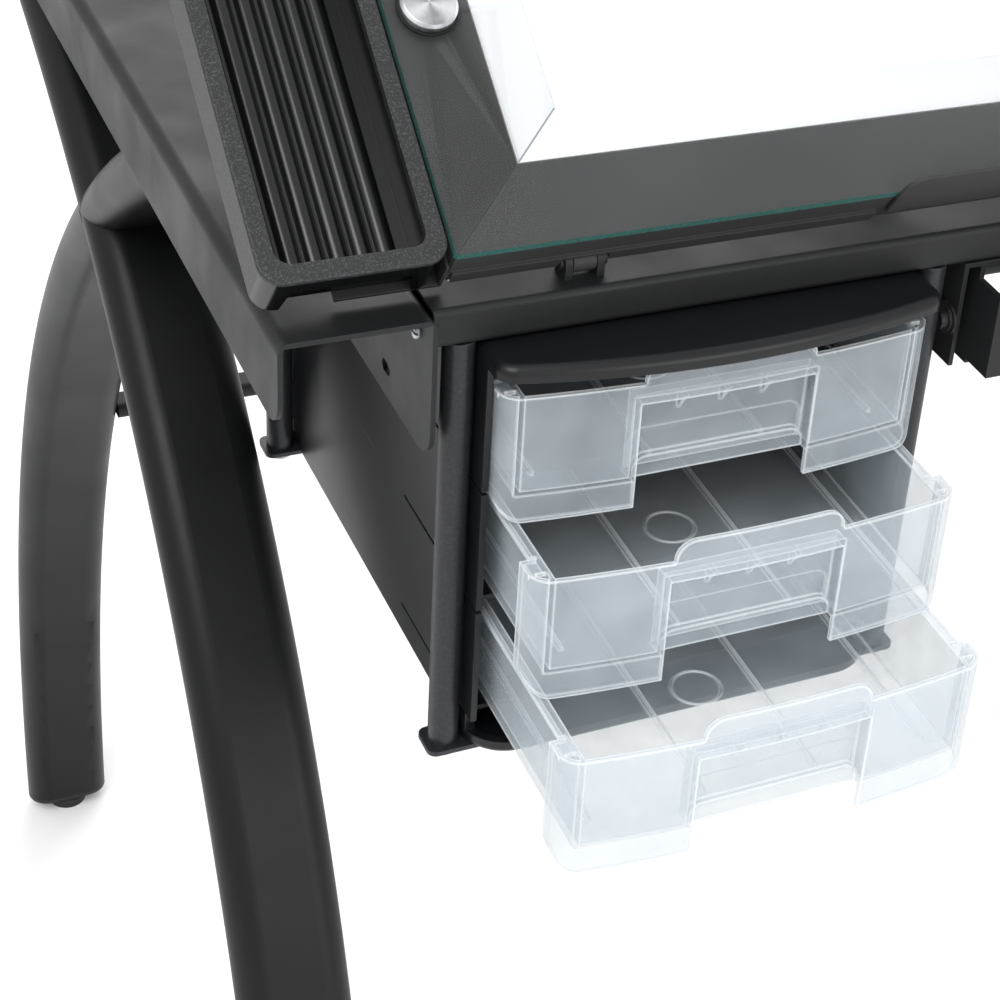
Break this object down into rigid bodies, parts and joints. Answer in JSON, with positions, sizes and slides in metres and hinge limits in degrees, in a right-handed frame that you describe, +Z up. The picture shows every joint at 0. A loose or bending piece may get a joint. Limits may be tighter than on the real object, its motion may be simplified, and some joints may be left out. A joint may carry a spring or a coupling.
{
  "type": "drafting table",
  "caption": "Drafting table with a tilting glass top over a light pad, fluted side trays, a hanging cabinet with clear drawers, and curved crossing steel legs.",
  "frame": {"origin": "on the floor, under the middle of the whole table's plan", "axes": "+X to the user's right along the table's width, +Y away from the user, +Z up; the top is stored tilted to its stop and the two lower drawers partly open"},
  "size_m": [1.0432, 0.7434, 1.1427],
  "materials": {
    "base_steel": "fine-textured black powder coat",
    "leg_steel": "smooth satin black powder coat",
    "top_steel": "fine-textured charcoal powder coat",
    "clear_glass": "polished tempered glass with a green edge",
    "cap_metal": "spun satin face, bevelled rim",
    "washer_rubber": "matt",
    "pad_white": "white, satin",
    "guide_acrylic": "clear acrylic",
    "lamp_strip": "white board with yellow lamp dots",
    "pad_back": "plain folded sheet",
    "inlet_plastic": "moulded",
    "tray_plastic": "grained rim, smooth flutes",
    "cabinet_plastic": "moulded black, semi-gloss",
    "drawer_clear": "clear, faintly frosted",
    "bright_zinc": "bright zinc plate",
    "knob_plastic": "moulded",
    "foot_rubber": "moulded nylon"
  },
  "bodies": {
    "base": {"cabinet_base": "cabinet_plastic", "cabinet_cap": "cabinet_plastic", "cabinet_lower_tier": "cabinet_plastic", "cabinet_middle_tier": "cabinet_plastic", "cabinet_straps": "base_steel", "cabinet_upper_tier": "cabinet_plastic", "front_rail": "base_steel", "hanger_posts": "base_steel", "hinge_lugs": "base_steel", "hinge_pins": "bright_zinc", "left_front_leg": "leg_steel", "left_leg_brace": "leg_steel", "left_rear_leg": "leg_steel", "left_side_channel": "base_steel", "left_support_bracket": "base_steel", "leg_end_caps": "knob_plastic", "middle_rail": "base_steel", "rear_rail": "base_steel", "rear_stretcher": "base_steel", "right_front_leg": "leg_steel", "right_leg_brace": "leg_steel", "right_rear_leg": "leg_steel", "right_side_channel": "base_steel", "right_support_bracket": "base_steel", "strap_cap_nuts": "bright_zinc", "support_fasteners": "bright_zinc"},
    "top": {"glass_cap_washers": "washer_rubber", "glass_caps": "cap_metal", "glass_panel": "clear_glass", "hinge_ears": "top_steel", "led_strips": "lamp_strip", "ledge_screws": "bright_zinc", "left_quadrant": "top_steel", "left_tray_rail": "top_steel", "light_guide": "guide_acrylic", "light_pad_back": "pad_back", "light_pad_bezel": "pad_white", "light_panel": "pad_white", "power_inlet": "inlet_plastic", "right_quadrant": "top_steel", "right_tray_rail": "top_steel", "top_cross_bars": "top_steel", "top_frame_front": "top_steel", "top_frame_left": "top_steel", "top_frame_rear": "top_steel", "top_frame_right": "top_steel"},
    "bottom_drawer": {"bottom_drawer": "drawer_clear"},
    "left_clamp_knob": {"left_clamp_knob": "knob_plastic"},
    "left_front_tray": {"left_front_tray": "tray_plastic"},
    "left_rear_tray": {"left_rear_tray": "tray_plastic"},
    "leveler_front_left": {"leveler_front_left": "foot_rubber"},
    "leveler_front_right": {"leveler_front_right": "foot_rubber"},
    "leveler_rear_left": {"leveler_rear_left": "foot_rubber"},
    "leveler_rear_right": {"leveler_rear_right": "foot_rubber"},
    "middle_drawer": {"middle_drawer": "drawer_clear"},
    "pencil_ledge": {"pencil_ledge": "top_steel"},
    "right_clamp_knob": {"right_clamp_knob": "knob_plastic"},
    "right_front_tray": {"right_front_tray": "tray_plastic"},
    "right_rear_tray": {"right_rear_tray": "tray_plastic"},
    "top_drawer": {"top_drawer": "drawer_clear"}
  },
  "joints": [
    {"name": "top_tilt", "type": "hinge", "parent": "base", "child": "top", "pos_m": [0, -0.26225, 0.776], "axis": [1, 0, 0], "range_deg": [-35.5, 0]},
    {"name": "ledge_slide", "type": "slide", "parent": "top", "child": "pencil_ledge", "axis": [0, -0.5807, 0.8141], "range_m": [-0.01, 0]},
    {"name": "left_front_tray_lift", "type": "slide", "parent": "top", "child": "left_front_tray", "axis": [0, -0.5807, 0.8141], "range_m": [0, 0.06]},
    {"name": "left_rear_tray_lift", "type": "slide", "parent": "top", "child": "left_rear_tray", "axis": [0, -0.5807, 0.8141], "range_m": [0, 0.06]},
    {"name": "right_front_tray_lift", "type": "slide", "parent": "top", "child": "right_front_tray", "axis": [0, -0.5807, 0.8141], "range_m": [0, 0.06]},
    {"name": "right_rear_tray_lift", "type": "slide", "parent": "top", "child": "right_rear_tray", "axis": [0, -0.5807, 0.8141], "range_m": [0, 0.06]},
    {"name": "top_drawer_slide", "type": "slide", "parent": "base", "child": "top_drawer", "axis": [0, -1, 0], "range_m": [0, 0.15]},
    {"name": "middle_drawer_slide", "type": "slide", "parent": "base", "child": "middle_drawer", "axis": [0, -1, 0], "range_m": [-0.0375, 0.1125]},
    {"name": "bottom_drawer_slide", "type": "slide", "parent": "base", "child": "bottom_drawer", "axis": [0, -1, 0], "range_m": [-0.075, 0.075]},
    {"name": "left_knob_turn", "type": "hinge", "parent": "base", "child": "left_clamp_knob", "pos_m": [-0.2277, -0.20714, 0.73447], "axis": [1, 0, 0], "range_deg": [-180, 180]},
    {"name": "right_knob_turn", "type": "hinge", "parent": "base", "child": "right_clamp_knob", "pos_m": [0.2277, -0.20714, 0.73447], "axis": [1, 0, 0], "range_deg": [-180, 180]},
    {"name": "front_left_foot_level", "type": "slide", "parent": "base", "child": "leveler_front_left", "axis": [0, 0, 1], "range_m": [-0.008, 0.002]},
    {"name": "front_right_foot_level", "type": "slide", "parent": "base", "child": "leveler_front_right", "axis": [0, 0, 1], "range_m": [-0.008, 0.002]},
    {"name": "rear_left_foot_level", "type": "slide", "parent": "base", "child": "leveler_rear_left", "axis": [0, 0, 1], "range_m": [-0.008, 0.002]},
    {"name": "rear_right_foot_level", "type": "slide", "parent": "base", "child": "leveler_rear_right", "axis": [0, 0, 1], "range_m": [-0.008, 0.002]}
  ]
}
